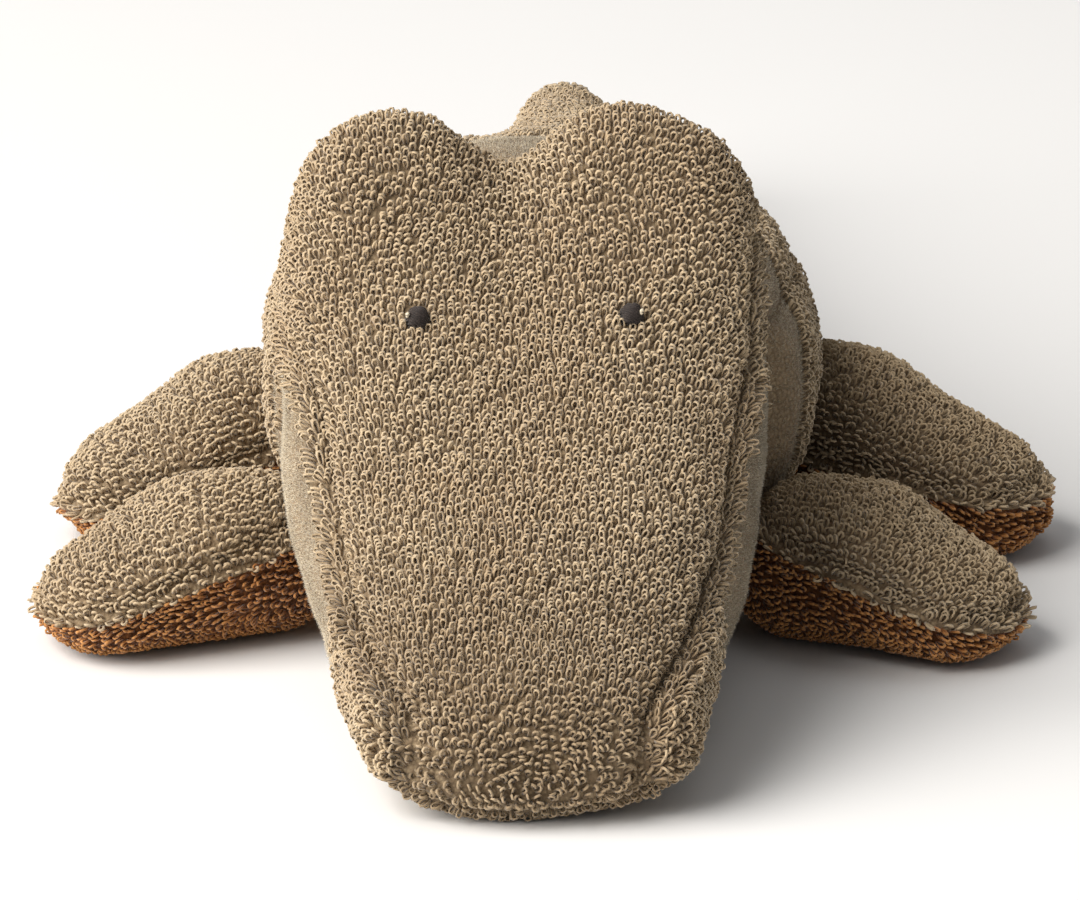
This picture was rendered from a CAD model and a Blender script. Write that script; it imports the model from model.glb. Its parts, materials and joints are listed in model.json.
"""A plush crocodile of looped towelling: covers, pile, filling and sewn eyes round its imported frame."""

import json
import logging
import math
from collections.abc import Callable
from dataclasses import dataclass
from enum import Enum

import bpy
import numpy as np
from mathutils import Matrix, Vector

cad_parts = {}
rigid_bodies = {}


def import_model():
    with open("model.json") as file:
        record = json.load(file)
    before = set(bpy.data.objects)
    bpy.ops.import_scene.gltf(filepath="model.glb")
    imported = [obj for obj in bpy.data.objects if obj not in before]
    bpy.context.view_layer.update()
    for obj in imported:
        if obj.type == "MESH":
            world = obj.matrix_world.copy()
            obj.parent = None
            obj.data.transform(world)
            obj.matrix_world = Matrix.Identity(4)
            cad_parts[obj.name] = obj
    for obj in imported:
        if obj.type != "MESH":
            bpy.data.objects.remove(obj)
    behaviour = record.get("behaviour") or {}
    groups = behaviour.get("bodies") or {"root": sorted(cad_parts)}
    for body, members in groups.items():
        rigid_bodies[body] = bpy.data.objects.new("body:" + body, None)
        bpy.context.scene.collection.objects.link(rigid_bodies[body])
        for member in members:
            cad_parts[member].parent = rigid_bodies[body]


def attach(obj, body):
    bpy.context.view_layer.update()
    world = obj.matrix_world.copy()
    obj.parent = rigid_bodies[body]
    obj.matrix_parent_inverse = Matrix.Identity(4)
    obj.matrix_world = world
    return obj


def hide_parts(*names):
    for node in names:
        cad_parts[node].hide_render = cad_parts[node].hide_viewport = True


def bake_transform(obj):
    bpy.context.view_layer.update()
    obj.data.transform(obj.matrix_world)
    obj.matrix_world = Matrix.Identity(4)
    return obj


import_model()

LOG = logging.getLogger("crocodile")
MM = 0.001
UP = np.array([0.0, 0.0, 1.0])
ORIGIN = np.zeros(3)
NO_TURN = np.eye(3)
FAR = 1e3
FURROW_AT = 4.6
SMOOTH_ROUND = 2.2
BLACK = (0.0, 0.0, 0.0)
WHITE = (1.0, 1.0, 1.0)

Colour = tuple[float, float, float]
Place = tuple[float, float, float]
Socket = bpy.types.NodeSocket
Finish = bpy.types.Material
Piece = bpy.types.Object
Array = np.ndarray
Field = Callable[[Array], Array]


class Slot(Enum):
    """The record's material slots."""

    OLIVE = "olive_towelling"
    RUST = "rust_towelling"
    FILLING = "fibre_filling"
    THREAD = "eye_thread"


class Spread(Enum):
    """Which way the yarn's rings stand across: round the form, or along it."""

    ROUND = "round"
    ALONG = "along"


class NodeSheet:
    """A material's node tree, laid out from left to right as nodes are added."""

    def __init__(self, name: str) -> None:
        """Starts a material with an empty tree.

        Args:
            name: The material's name.
        """
        self.material = bpy.data.materials.new(name)
        self.material.use_nodes = True
        self.tree = self.material.node_tree
        self.tree.nodes.clear()
        self.place = 0

    def add(self, kind: str, **settings: object) -> bpy.types.Node:
        """Adds a node.

        Args:
            kind: The node's type name.
            **settings: Attributes of the node, or values of its inputs by lower-case name.

        Returns:
            The node.
        """
        node = self.tree.nodes.new(kind)
        node.location = (self.place * 190.0, 0.0)
        self.place += 1
        for name, value in settings.items():
            if hasattr(node, name) and name != "inputs":
                setattr(node, name, value)
            else:
                node.inputs[name.replace("_", " ").title()].default_value = value
        return node

    def join(self, source: Socket, target: Socket) -> None:
        """Links an output to an input."""
        self.tree.links.new(source, target)

    def number(self, name: str) -> Socket:
        """The output that reads a number kept on the mesh's points."""
        return self.add("ShaderNodeAttribute", attribute_name=name).outputs["Fac"]

    def texture(self, kind: str, **settings: float) -> bpy.types.Node:
        """A texture over the piece's own place.

        Args:
            kind: The texture node's type name.
            **settings: Values of its inputs by lower-case name.

        Returns:
            The node.
        """
        node = self.add(kind, **settings)
        self.join(self.add("ShaderNodeTexCoord").outputs["Object"], node.inputs["Vector"])
        return node

    def noise(self, scale: float, detail: float = 3.0) -> Socket:
        """Noise as a number, with a scale in waves per metre and a detail in octaves."""
        return self.texture("ShaderNodeTexNoise", scale=scale, detail=detail).outputs["Fac"]

    def cells(self, scale: float) -> Socket:
        """Distance from the middles of small cells, with a scale in cells per metre."""
        return self.texture("ShaderNodeTexVoronoi", scale=scale).outputs["Distance"]

    def ramp(self, source: Socket, stops: list[tuple[float, Colour]]) -> Socket:
        """A colour chosen by a number.

        Args:
            source: The number.
            stops: (place, linear colour) pairs.

        Returns:
            The colour.
        """
        node = self.add("ShaderNodeValToRGB")
        while len(node.color_ramp.elements) < len(stops):
            node.color_ramp.elements.new(0.5)
        for element, (place, colour) in zip(node.color_ramp.elements, stops):
            element.position = place
            element.color = (*colour, 1.0)
        self.join(source, node.inputs["Fac"])
        return node.outputs["Color"]

    def mix(self, share: Socket | float, a: object, b: object, way: str = "MIX") -> Socket:
        """Two colours mixed.

        Args:
            share: How much of b, as a socket or a number.
            a: The first colour, as a socket or a linear colour.
            b: The second colour, likewise.
            way: The mixing mode.

        Returns:
            The mixed colour.
        """
        node = self.add("ShaderNodeMix", data_type="RGBA", blend_type=way)
        for value, socket in ((share, node.inputs[0]), (a, node.inputs[6]), (b, node.inputs[7])):
            if isinstance(value, Socket):
                self.join(value, socket)
            else:
                socket.default_value = value if isinstance(value, float) else (*value, 1.0)
        return node.outputs[2]

    def shaded(self, colour: Socket, number: Socket, stops: list[tuple[float, Colour]]) -> Socket:
        """A colour made darker or lighter by a number.

        Args:
            colour: The colour.
            number: The number.
            stops: (place, factor) pairs.

        Returns:
            The shaded colour.
        """
        return self.mix(1.0, colour, self.ramp(number, stops), "MULTIPLY")

    def bump(self, height: Socket, strength: float, depth: float) -> Socket:
        """A normal raised by a height.

        Args:
            height: The height, 0 to 1.
            strength: Its share.
            depth: Its full depth in metres.

        Returns:
            The normal.
        """
        node = self.add("ShaderNodeBump", strength=strength, distance=depth)
        self.join(height, node.inputs["Height"])
        return node.outputs["Normal"]

    def cloth_shader(self, colour: Socket, rough: float, sheen: float, normal: Socket | None) -> Finish:
        """Ends the tree in a cloth's shader.

        Args:
            colour: The base colour.
            rough: Roughness.
            sheen: Weight of the sheen.
            normal: The normal, or None for the mesh's own.

        Returns:
            The material.
        """
        shader = self.add("ShaderNodeBsdfPrincipled", roughness=rough)
        shader.inputs["Sheen Weight"].default_value = sheen
        shader.inputs["Sheen Roughness"].default_value = 0.5
        shader.inputs["Specular IOR Level"].default_value = 0.2
        self.join(colour, shader.inputs["Base Color"])
        if normal is not None:
            self.join(normal, shader.inputs["Normal"])
        end = self.add("ShaderNodeOutputMaterial")
        self.join(shader.outputs["BSDF"], end.inputs["Surface"])
        return self.material


@dataclass(frozen=True)
class LoopYarn:
    """Cotton yarn of the pile: dark near its root, light at its tip, each loop a little its own shade."""

    name: str
    root: Colour
    middle: Colour
    tip: Colour
    stain: Colour
    sheen: float = 0.25

    def material(self) -> Finish:
        """Makes the yarn's material.

        Returns:
            The material.
        """
        sheet = NodeSheet(self.name)
        stops = [(0.0, self.root), (0.55, self.middle), (1.0, self.tip)]
        along = sheet.ramp(sheet.number("pile_height"), stops)
        own = [(0.0, (0.66, 0.63, 0.6)), (0.5, WHITE), (1.0, (1.1, 1.1, 1.1))]
        shaded = sheet.shaded(along, sheet.number("loop_shade"), own)
        patches = sheet.ramp(sheet.noise(38.0), [(0.42, BLACK), (0.66, WHITE)])
        worn = sheet.mix(patches, shaded, sheet.mix(0.5, shaded, self.stain))
        twist = sheet.noise(2600.0, 1.0)
        return sheet.cloth_shader(worn, 0.92, self.sheen, sheet.bump(twist, 0.35, 0.0003))


@dataclass(frozen=True)
class TwoShades:
    """A finish between a dark and a light colour."""

    name: str
    dark: Colour
    light: Colour


class GroundCloth(TwoShades):
    """The woven ground that the loops stand on, deep and shaded between them."""

    def material(self) -> Finish:
        """Makes the ground's material.

        Returns:
            The material.
        """
        sheet = NodeSheet(self.name)
        knots = sheet.cells(1050.0)
        colour = sheet.ramp(knots, [(0.05, self.light), (0.6, self.dark)])
        patches = [(0.35, (0.8, 0.8, 0.8)), (0.7, (1.15, 1.15, 1.15))]
        mixed = sheet.shaded(colour, sheet.noise(60.0), patches)
        return sheet.cloth_shader(mixed, 0.95, 0.15, sheet.bump(knots, 0.8, 0.0006))


class NappedCloth(TwoShades):
    """The smooth side gussets: a short brushed nap, mottled and a little greyer than the loops."""

    def material(self) -> Finish:
        """Makes the nap's material.

        Returns:
            The material.
        """
        sheet = NodeSheet(self.name)
        broad = sheet.noise(120.0, 4.0)
        fine = sheet.noise(1500.0, 3.0)
        colour = sheet.ramp(broad, [(0.35, self.dark), (0.65, self.light)])
        flecks = [(0.3, (0.68, 0.66, 0.63)), (0.55, WHITE), (0.75, (1.2, 1.2, 1.2))]
        pricks = [(0.06, (0.5, 0.47, 0.44)), (0.2, WHITE)]
        mottled = sheet.shaded(sheet.shaded(colour, fine, flecks), sheet.cells(420.0), pricks)
        return sheet.cloth_shader(mottled, 0.95, 0.35, sheet.bump(fine, 0.7, 0.0005))


class SewnThread(TwoShades):
    """Thread of the eyes, with the soft gloss of satin stitches."""

    def material(self) -> Finish:
        """Makes the thread's material.

        Returns:
            The material.
        """
        sheet = NodeSheet(self.name)
        grain = sheet.noise(3500.0, 2.0)
        colour = sheet.ramp(grain, [(0.35, self.dark), (0.7, self.light)])
        return sheet.cloth_shader(colour, 0.55, 0.2, sheet.bump(grain, 0.5, 0.0002))


class LooseFilling(TwoShades):
    """Off-white fibre filling, matted into soft clumps."""

    def material(self) -> Finish:
        """Makes the filling's material.

        Returns:
            The material.
        """
        sheet = NodeSheet(self.name)
        clumps = sheet.noise(90.0, 6.0)
        strands = sheet.noise(1100.0, 4.0)
        colour = sheet.ramp(clumps, [(0.3, self.dark), (0.7, self.light)])
        return sheet.cloth_shader(colour, 1.0, 0.4, sheet.bump(strands, 0.9, 0.001))


class Finishes:
    """Every finish of the crocodile, made once."""

    def __init__(self) -> None:
        """Makes the materials."""
        self.olive_loops = LoopYarn(
            "olive loop yarn", root=(0.37, 0.268, 0.16), middle=(0.47, 0.356, 0.22),
            tip=(0.505, 0.392, 0.252), stain=(0.4, 0.285, 0.168),
        ).material()
        self.rust_loops = LoopYarn(
            "rust loop yarn", root=(0.17, 0.06, 0.017), middle=(0.38, 0.155, 0.043),
            tip=(0.6, 0.29, 0.095), stain=(0.3, 0.11, 0.03),
        ).material()
        ground_dark, ground_light = (0.22, 0.155, 0.092), (0.36, 0.27, 0.163)
        self.olive_ground = GroundCloth("olive ground cloth", ground_dark, ground_light).material()
        rust_dark, rust_light = (0.1, 0.036, 0.011), (0.25, 0.095, 0.027)
        self.rust_ground = GroundCloth("rust ground cloth", rust_dark, rust_light).material()
        nap_dark, nap_light = (0.45, 0.375, 0.26), (0.6, 0.51, 0.365)
        self.gusset_nap = NappedCloth("brushed gusset cloth", nap_dark, nap_light).material()
        self.eye_dark = SewnThread("eye thread dark", (0.011, 0.007, 0.006), (0.042, 0.029, 0.024)).material()
        self.eye_cream = SewnThread("eye thread cream", (0.5, 0.42, 0.3), (0.8, 0.72, 0.56)).material()
        self.filling = LooseFilling("fibre filling", (0.55, 0.52, 0.46), (0.82, 0.8, 0.74)).material()


def shares_at(rows: Array, place: Array) -> Array:
    """Smooth values between the rows of a table of shares.

    Args:
        rows: One row per known place: the place, then its shares.
        place: The places asked for.

    Returns:
        One row of shares per place.
    """
    place = np.clip(place, rows[0, 0], rows[-1, 0])
    to = np.clip(np.searchsorted(rows[:, 0], place), 1, len(rows) - 1)
    at = to - 1
    before, after = np.maximum(at - 1, 0), np.minimum(to + 1, len(rows) - 1)
    span = rows[to, :1] - rows[at, :1]
    t = (place[:, None] - rows[at, :1]) / span
    slope_in = (rows[to, 1:] - rows[before, 1:]) / (rows[to, :1] - rows[before, :1]) * span
    slope_out = (rows[after, 1:] - rows[at, 1:]) / (rows[after, :1] - rows[at, :1]) * span
    return (
        (2 * t**3 - 3 * t**2 + 1) * rows[at, 1:] + (t**3 - 2 * t**2 + t) * slope_in
        + (3 * t**2 - 2 * t**3) * rows[to, 1:] + (t**3 - t**2) * slope_out
    )


def lumps(points: Array, wave: float, seed: int) -> Array:
    """Soft lumps of a hand-stuffed toy, from -1 to 1.

    Args:
        points: Places in millimetres, one row each.
        wave: Length of a lump in millimetres.
        seed: Which pattern.

    Returns:
        One number per place.
    """
    rng = np.random.default_rng(seed)
    total = np.zeros(points.shape[:-1])
    for _ in range(7):
        way = rng.normal(size=3)
        way *= 2 * math.pi / wave / np.linalg.norm(way) * rng.uniform(0.7, 1.4)
        total += np.sin(points @ way + rng.uniform(0, 2 * math.pi))
    return total / 4.0


def unit(v: Array) -> Array:
    """Vectors brought to length one."""
    return v / np.maximum(np.linalg.norm(v, axis=-1, keepdims=True), 1e-12)


def run_along(points: Array) -> Array:
    """The distance run to each of a line's points."""
    return np.concatenate([[0], np.cumsum(np.linalg.norm(np.diff(points, axis=0), axis=1))])


def bell(distance: Array, width: float) -> Array:
    """One at no distance, and falling away smoothly over a width."""
    return np.exp(-((distance / width) ** 2))


def turn_about_up(angle: float) -> Array:
    """The matrix of a turn about +Z by an angle in radians."""
    c, s = math.cos(angle), math.sin(angle)
    return np.array([[c, -s, 0], [s, c, 0], [0, 0, 1]])


def net_triangles(ids: Array) -> Array:
    """Triangles of a net of closed rings.

    Args:
        ids: Point numbers, one row per ring; a ring that is a single point repeats its number.

    Returns:
        One row of point numbers per triangle, without those that have no area.
    """
    near, far = ids[:-1], ids[1:]
    near_next, far_next = np.roll(near, -1, 1), np.roll(far, -1, 1)
    tris = np.concatenate([
        np.stack([near, far_next, near_next], -1).reshape(-1, 3),
        np.stack([near, far, far_next], -1).reshape(-1, 3),
    ])
    alike = (tris[:, 0] == tris[:, 1]) | (tris[:, 1] == tris[:, 2]) | (tris[:, 0] == tris[:, 2])
    return tris[~alike]


def tubes(centre: Array, flat: Array, radius: Array, sides: int) -> tuple[Array, list[Array]]:
    """Closed tubes of yarn or thread along many paths.

    Args:
        centre: The paths: tubes by steps by three.
        flat: A direction across each path, tubes by steps by three.
        radius: The tubes' radii, tubes by steps.
        sides: Points of a ring.

    Returns:
        Points, by tube, step and side, and the faces: quads of the walls, then the ends.
    """
    run = unit(np.gradient(centre, axis=1))
    flat = unit(flat - run * np.sum(flat * run, -1, keepdims=True))
    third = np.cross(run, flat)
    turn = np.arange(sides) * 2 * math.pi / sides
    c, s = np.cos(turn)[:, None], np.sin(turn)[:, None]
    across = c * flat[:, :, None] + s * third[:, :, None]
    ring = centre[:, :, None] + radius[..., None, None] * across
    count, steps = centre.shape[:2]
    ids = np.arange(steps * sides).reshape(steps, sides)
    near, far = ids[:-1], ids[1:]
    quads = np.stack([near, np.roll(near, -1, 1), np.roll(far, -1, 1), far], -1).reshape(-1, 4)
    offset = (np.arange(count) * steps * sides)[:, None, None]
    ends = np.stack([ids[0, ::-1], ids[-1]]) + offset
    return ring, [(quads + offset).reshape(-1, 4), ends.reshape(-1, sides)]


@dataclass
class StuffedForm:
    """A long stuffed form: superellipse sections between two rounded ends, in millimetres."""

    start_y: float
    end_y: float
    start_nose: float
    end_nose: float
    width: float
    height: float
    rows: Array
    rows_from: float
    rows_to: float
    start_power: float
    end_power: float
    lower_power: float
    start_round: float = SMOOTH_ROUND
    end_round: float = SMOOTH_ROUND
    tip_lift: float = 0.0
    pole_height: float = 0.5
    floor_cut: float = 0.5

    def rise(self, x: Array, y: Array) -> Array:
        """Extra height of the top, none on a plain form."""
        return np.zeros_like(x)

    def stations(self, step: float) -> tuple[Array, Array]:
        """Places of the rings.

        Args:
            step: Distance between rings.

        Returns:
            Each ring's y, and the share of its full size that it keeps.
        """
        ys, keeps = [], []
        turns = np.linspace(0, math.pi / 2, 12 if self.start_nose > 12 else 9)[:-1]
        if self.start_nose > 0:
            ys.append(self.start_y + self.start_nose * (1 - np.cos(turns) ** (2 / self.start_round)))
            keeps.append(np.sin(turns) ** (2 / self.start_round))
        low, high = self.start_y + self.start_nose, self.end_y - self.end_nose
        middle = np.linspace(low, high, max(int(round((high - low) / step)), 2) + 1)
        ys.append(middle)
        keeps.append(np.ones_like(middle))
        if self.end_nose > 0:
            back = turns[::-1]
            ys.append(self.end_y - self.end_nose * (1 - np.cos(back) ** (2 / self.end_round)))
            keeps.append(np.sin(back) ** (2 / self.end_round))
        return np.concatenate(ys), np.concatenate(keeps)

    def rings(self, step: float, columns: int) -> Array:
        """Rings of points, each even round its own girth, from under the belly round by +X.

        Args:
            step: Distance between rings.
            columns: Points of a ring.

        Returns:
            An array of rings by columns by three.
        """
        y, keep = self.stations(step)
        place = (y - self.rows_from) / (self.rows_to - self.rows_from)
        shares = shares_at(self.rows, place)
        lift = shares[:, 2] if shares.shape[1] > 2 else np.zeros(len(y))
        bottom = self.tip_lift * lift - self.floor_cut
        top = self.height * shares[:, 1]
        half_width = self.width / 2 * shares[:, 0] * keep
        half_height = (top - bottom) / 2 * keep
        pole = bottom + (top - bottom) * self.pole_height
        centre = np.where(keep < 1, (top + bottom) / 2 * keep + pole * (1 - keep), (top + bottom) / 2)
        power = self.start_power + (self.end_power - self.start_power) * np.clip(place, 0, 1)
        angle = np.linspace(-math.pi / 2, 3 * math.pi / 2, 721)
        c, s = np.cos(angle), np.sin(angle)
        out = np.zeros((len(y), columns, 3))
        for i in range(len(y)):
            p = np.where(s > 0, power[i], self.lower_power)
            reach = (np.abs(c) ** p + np.abs(s) ** p) ** (-1 / p)
            x = half_width[i] * c * reach
            z = centre[i] + half_height[i] * s * reach
            z = z + self.rise(x, np.full_like(x, y[i])) * np.maximum(s * reach, 0) * keep[i]
            length = np.concatenate([[0], np.cumsum(np.hypot(np.diff(x), np.diff(z)))])
            asked = np.linspace(0, length[-1], columns + 1)[:-1]
            if length[-1] < 1e-6:
                out[i] = [0.0, y[i], pole[i]]
                continue
            out[i, :, 0] = np.interp(asked, length, x)
            out[i, :, 1] = y[i]
            out[i, :, 2] = np.interp(asked, length, z)
        return out


@dataclass
class HeadForm(StuffedForm):
    """The head: a wedge whose brow stands up as two rounded humps with a notch between them."""

    brow_rise: float = 21.0
    brow_depth: float = 17.0
    brow_y: float = -114.75
    notch_depth: float = 11.0
    notch_width: float = 11.5
    notch_x: float = -2.5

    def rise(self, x: Array, y: Array) -> Array:
        """Extra height of the brow humps.

        Args:
            x: Places across.
            y: Places along.

        Returns:
            The height at each place.
        """
        along = bell(y - self.brow_y, self.brow_depth)
        notch = self.notch_depth * bell(x - self.notch_x, self.notch_width)
        return (self.brow_rise - notch) * along


@dataclass
class Seam:
    """A sewn line where a field over the cover is zero, with how it pulls in or rolls up the cloth."""

    reach: float = 3.0
    depth: float = 1.3
    roll: float = 0.0
    roll_width: float = 1.6
    furrow: float = 0.0
    furrow_at: float = FURROW_AT
    furrow_width: float = 1.5


class Cover:
    """A form's cover as a fine net of points, with its seams sewn in."""

    batch = 4000
    broad_lump = 42.0
    small_lump = 15.0

    def __init__(self, form: StuffedForm, step: float, columns: int) -> None:
        """Lays the net over a form.

        Args:
            form: The stuffed form.
            step: Distance between rings.
            columns: Points round a ring.
        """
        self.rest = form.rings(step, columns)
        self.rings, self.columns = self.rest.shape[:2]
        self.ids = np.arange(self.rings * self.columns).reshape(self.rings, self.columns)
        self.poles = [i for i in (0, self.rings - 1) if np.ptp(self.rest[i], axis=0).max() < 1e-6]
        for i in self.poles:
            self.ids[i] = self.ids[i, 0]
        self.tris = net_triangles(self.ids)
        self.seam_distance = np.full((self.rings, self.columns), FAR)
        self.toward_seam = np.zeros((self.rings, self.columns, 3))
        self.pull = np.zeros((self.rings, self.columns))
        self.mirrored = False

    def snap(self, values: Array) -> Array:
        """Moves net points onto the line where a field is zero, so that panels meet on a clean seam.

        Args:
            values: The field at each net point.

        Returns:
            The seam's points.
        """
        flat, value = self.rest.reshape(-1, 3), values.reshape(-1)
        edges = np.concatenate([self.tris[:, [0, 1]], self.tris[:, [1, 2]], self.tris[:, [2, 0]]])
        a, b = edges[:, 0], edges[:, 1]
        cross = (value[a] > 0) != (value[b] > 0)
        a, b = a[cross], b[cross]
        t = value[a] / (value[a] - value[b])
        target = flat[a] + (flat[b] - flat[a]) * t[:, None]
        mover = np.where(t < 0.5, a, b)
        shift = np.linalg.norm(target - flat[mover], axis=1)
        order = np.argsort(-shift)
        moved = flat.copy()
        moved[mover[order]] = target[order]
        self.rest = moved.reshape(self.rest.shape)
        for i in self.poles:
            self.rest[i] = self.rest[i, 0]
        return moved[np.unique(mover)]

    def sew(self, values: Array, seam: Seam) -> None:
        """Sews one seam and notes how far each net point lies from it.

        Args:
            values: The field at each net point.
            seam: How the seam pulls the cloth.
        """
        line = self.snap(values)
        flat = self.rest.reshape(-1, 3)
        distance = np.full(len(flat), FAR)
        nearest = np.zeros((len(flat), 3))
        for start in range(0, len(flat), self.batch):
            part = slice(start, start + self.batch)
            length = np.linalg.norm(flat[part, None] - line[None], axis=-1)
            best = length.argmin(1)
            distance[part] = length[np.arange(len(best)), best]
            nearest[part] = line[best]
        shape = (self.rings, self.columns)
        distance = distance.reshape(shape)
        push = seam.roll * bell(distance, seam.roll_width) - seam.depth * bell(distance, seam.reach)
        push = push - seam.furrow * (values > 0) * bell(distance - seam.furrow_at, seam.furrow_width)
        self.pull = self.pull + push
        closer = distance < self.seam_distance
        self.toward_seam[closer] = (nearest.reshape(*shape, 3) - self.rest)[closer]
        self.seam_distance = np.minimum(self.seam_distance, distance)

    def normals(self, points: Array) -> Array:
        """The net's outward directions.

        Args:
            points: The net's points.

        Returns:
            One direction per net point.
        """
        flat = points.reshape(-1, 3)
        a, b, c = (flat[self.tris[:, k]] for k in range(3))
        face = np.cross(b - a, c - a)
        total = np.zeros_like(flat)
        for k in range(3):
            np.add.at(total, self.tris[:, k], face)
        total = total.reshape(points.shape)
        for i in self.poles:
            total[i] = total[i, 0]
        return unit(total)

    def swell(self, inset: float, lump: float, seed: int, floor: float) -> None:
        """Gives the cover its final shape: sunk by the pile's depth, lumpy, drawn in at seams.

        Args:
            inset: Depth of the pile.
            lump: Height of the stuffing's lumps.
            seed: Which lumps.
            floor: Lowest height of the cloth.
        """
        out = self.normals(self.rest)
        soft = lumps(self.rest, self.broad_lump, seed) + 0.35 * lumps(self.rest, self.small_lump, seed + 1)
        height = -inset + self.pull + lump * soft
        self.shown = self.rest + out * height[..., None]
        low = self.shown[..., 2]
        self.shown[..., 2] = np.where(low < floor, floor, low)
        for i in self.poles:
            self.shown[i] = self.shown[i, 0]
        self.out = self.normals(self.shown)

    def place(self, turn: Array, move: Array) -> None:
        """Turns and moves the finished cover.

        Args:
            turn: A 3 by 3 matrix.
            move: The shift after it.
        """
        self.shown = self.shown @ turn.T + move
        self.out = self.out @ turn.T
        self.toward_seam = self.toward_seam @ turn.T
        self.mirrored = np.linalg.det(turn) < 0


@dataclass(frozen=True)
class Bend:
    """How a piece follows two bodies across their joint."""

    first: str
    second: str
    start: Place
    end: Place


@dataclass
class Panel:
    """One cut piece of cloth of a cover, with the pile on it."""

    name: str
    label: int
    slot: Slot
    node: str
    carrier: Bend | str
    fringe: float = 0.0
    fringe_reach: float = 2.2
    furrow: float = 0.0
    height: float = 1.75
    combed: Place = (0.0, 0.35, 0.5)
    wide: float = 1.15
    worn: float = 0.0
    worn_below: float = 50.0


class Maker:
    """Turns nets and loops into meshes and pieces."""

    cloth_thickness = 1.1

    def __init__(self, finishes: Finishes) -> None:
        """Keeps the finishes that pieces are dressed in."""
        self.finishes = finishes

    def mesh(self, name: str, points: Array, faces: list[Array], material: Finish) -> Piece:
        """A piece from points in millimetres.

        Args:
            name: The piece's name.
            points: One row per point.
            faces: Arrays of faces, each with its own count of corners.
            material: Its finish.

        Returns:
            The object.
        """
        mesh = bpy.data.meshes.new(name)
        counts = np.concatenate([np.full(len(f), f.shape[1]) for f in faces])
        corners = np.concatenate([f.ravel() for f in faces]).astype(np.int32)
        mesh.vertices.add(len(points))
        mesh.vertices.foreach_set("co", (points * MM).astype(np.float32).ravel())
        mesh.loops.add(len(corners))
        mesh.loops.foreach_set("vertex_index", corners)
        mesh.polygons.add(len(counts))
        starts = np.concatenate([[0], np.cumsum(counts)[:-1]]).astype(np.int32)
        mesh.polygons.foreach_set("loop_start", starts)
        mesh.polygons.foreach_set("use_smooth", np.ones(len(counts), bool))
        mesh.update(calc_edges=True)
        mesh.validate()
        mesh.materials.append(material)
        obj = bpy.data.objects.new(name, mesh)
        bpy.context.scene.collection.objects.link(obj)
        return obj

    def carry(self, obj: Piece, carrier: Bend | str, slot: Slot) -> None:
        """Sets what a piece moves with, and its slot.

        Args:
            obj: The piece.
            carrier: Its bend, or the one body that it rides on.
            slot: Its material slot.
        """
        if isinstance(carrier, Bend):
            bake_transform(obj)
        else:
            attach(obj, carrier)
        LOG.info("%s: %d points", obj.name, len(obj.data.vertices))

    def cloth(self, cover: Cover, panel: Panel, labels: Array) -> Piece:
        """The ground cloth of a panel, with the cloth's thickness.

        Args:
            cover: The cover that it is cut from.
            panel: The panel.
            labels: Which panel each triangle of the cover is in.

        Returns:
            The object.
        """
        tris = cover.tris[labels == panel.label]
        used, tris = np.unique(tris, return_inverse=True)
        tris = tris.reshape(-1, 3)
        if cover.mirrored:
            tris = tris[:, ::-1]
        material = self.finishes.rust_ground if panel.slot is Slot.RUST else self.finishes.olive_ground
        points = cover.shown.reshape(-1, 3)[used]
        obj = self.mesh(f"{panel.name}_cloth", points, [tris], material)
        thick = obj.modifiers.new("cloth thickness", "SOLIDIFY")
        thick.thickness = self.cloth_thickness * MM
        thick.offset = -1.0
        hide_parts(panel.node)
        self.carry(obj, panel.carrier, panel.slot)
        return obj


@dataclass
class LoopShape:
    """One loop of the pile: an upright ring of yarn on the ground cloth, in shares of its size."""

    across: tuple[float, ...] = (-0.12, -0.42, -0.5, -0.27, 0.27, 0.5, 0.42, 0.12)
    along: tuple[float, ...] = (-0.12, 0.3, 0.66, 0.94, 0.94, 0.66, 0.3, -0.12)
    aside: tuple[float, ...] = (0.1, 0.07, 0.03, 0.01, -0.01, -0.03, -0.07, -0.1)
    sides: int = 3

    def build(
        self, root: Array, up: Array, across: Array, height: Array, width: Array, yarn: Array
    ) -> tuple[Array, list[Array], Array]:
        """Loops of yarn at many roots.

        Args:
            root: Where each loop springs from.
            up: Which way each loop stands.
            across: The direction across each ring.
            height: Each loop's height.
            width: Each loop's width.
            yarn: Each yarn's radius.

        Returns:
            Points, faces, and how high up its loop each point is.
        """
        across = unit(across - up * np.sum(across * up, -1, keepdims=True))
        aside = np.cross(up, across)
        a, h, b = np.array(self.across), np.array(self.along), np.array(self.aside)
        centre = (
            root[:, None] + across[:, None] * (a[None] * width[:, None])[..., None]
            + up[:, None] * (h[None] * height[:, None])[..., None]
            + aside[:, None] * (b[None] * width[:, None])[..., None]
        )
        radius = np.repeat(yarn[:, None], len(a), axis=1)
        ring, faces = tubes(centre, np.broadcast_to(aside[:, None], centre.shape), radius, self.sides)
        high = np.broadcast_to(np.clip(h, 0, 1)[None, :, None], ring.shape[:3]).reshape(-1)
        return ring.reshape(-1, 3), faces, high


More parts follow.
